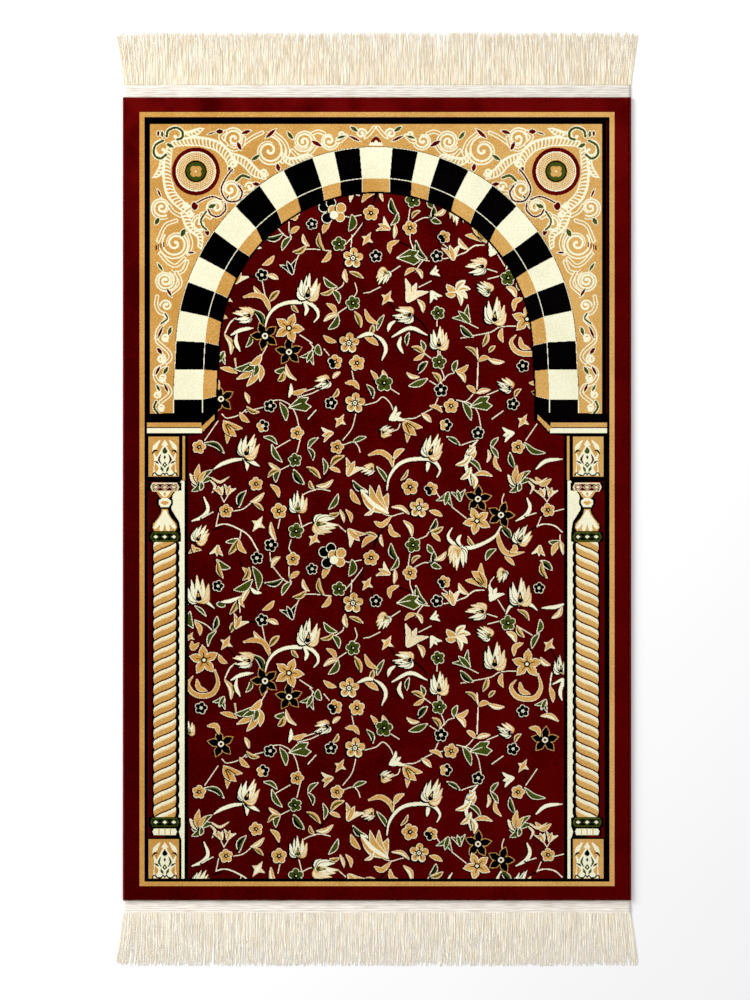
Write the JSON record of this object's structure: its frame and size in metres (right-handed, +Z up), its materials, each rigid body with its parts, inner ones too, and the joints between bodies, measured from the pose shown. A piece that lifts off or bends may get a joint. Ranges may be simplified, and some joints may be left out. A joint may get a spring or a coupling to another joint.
{
  "type": "prayer rug",
  "caption": "Flat rectangular prayer rug: cut pile body with a woven arch and column design, overcast long edges and a cream fringe on a ribbed band at both ends.",
  "frame": {"origin": "on the floor under the middle of the rug, fringes included", "axes": "+X across the rug, +Y along its length towards the end with the arch, +Z up from the floor through the pile"},
  "size_m": [0.7188, 1.2856, 0.007],
  "materials": {
    "pile": "dense cut pile of dyed yarn, dark red with gold, black, cream and green woven figures",
    "selvedge": "thick red overcasting yarn",
    "fringe": "undyed cream cotton yarn, soft and matt"
  },
  "bodies": {
    "root": {"rug_body": "pile", "selvedge_left": "selvedge", "selvedge_right": "selvedge", "fringe_top": "fringe", "fringe_bottom": "fringe"}
  },
  "joints": []
}
